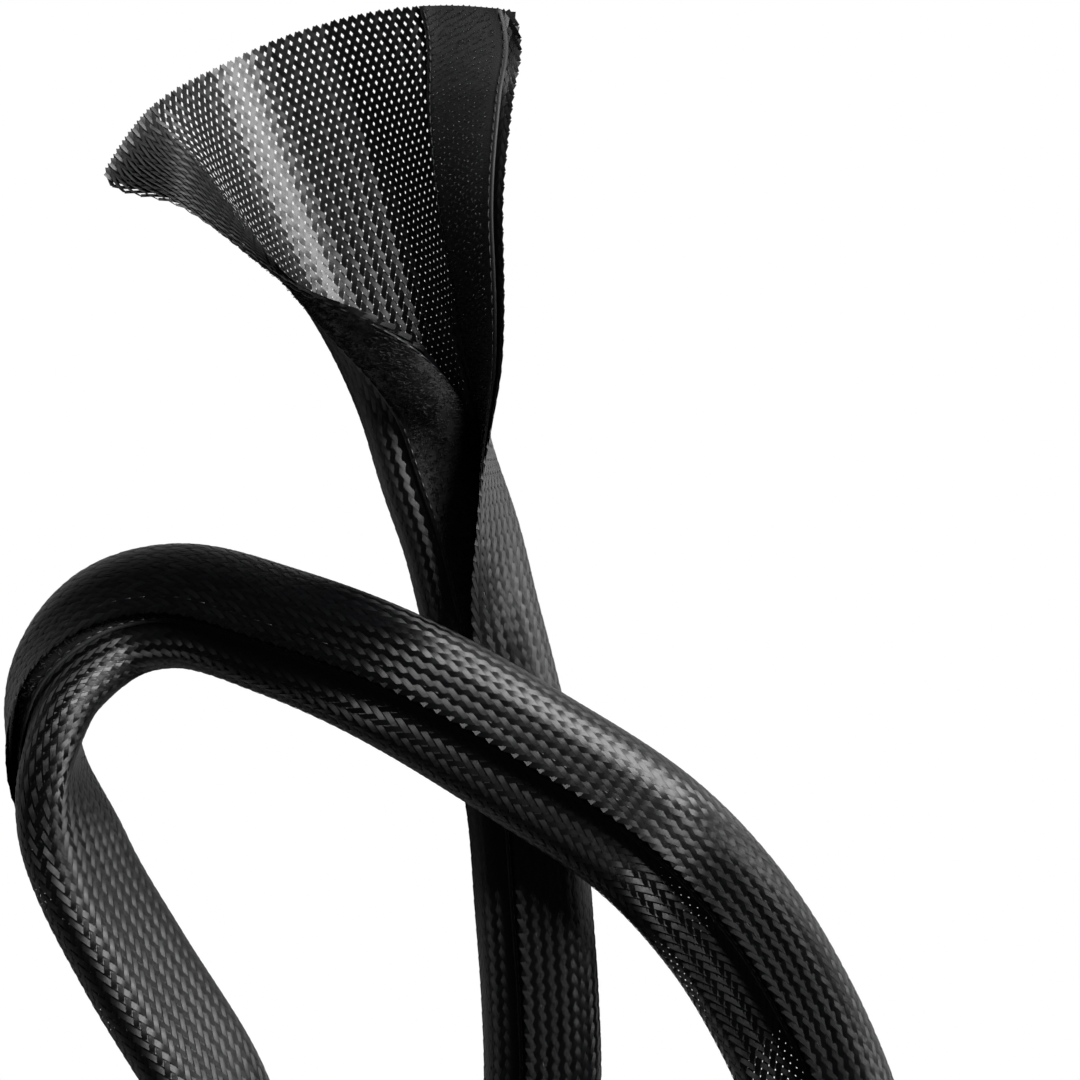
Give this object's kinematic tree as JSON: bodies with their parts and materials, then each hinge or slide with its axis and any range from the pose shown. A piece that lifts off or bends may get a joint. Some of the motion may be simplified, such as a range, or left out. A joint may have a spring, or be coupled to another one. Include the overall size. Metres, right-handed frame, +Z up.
{
  "type": "hook and loop cable sleeve",
  "caption": "Braided wrap-around cable sleeve with hook and loop tape closure, looped once over itself, its wrap fanned open at one end.",
  "frame": {"origin": "on the floor, at the middle of the underside of the straight leg just past the crossing", "axes": "+Z up from the floor; +Y along the straight leg towards the fanned end; +X towards the free end"},
  "size_m": [0.2032, 0.3064, 0.0428],
  "materials": {
    "braid": "glossy black polyester monofilament, braided",
    "hook_tape": "matt black nylon tape with a field of short hooks",
    "loop_tape": "matt black nylon tape with a brushed pile",
    "thread": "black bonded polyester sewing thread"
  },
  "bodies": {
    "root": {"braided_sheet": "braid", "hook_tape": "hook_tape", "loop_tape": "loop_tape", "hook_tape_outer_stitching": "thread", "hook_tape_inner_stitching": "thread", "loop_tape_outer_stitching": "thread", "loop_tape_inner_stitching": "thread"}
  },
  "joints": []
}
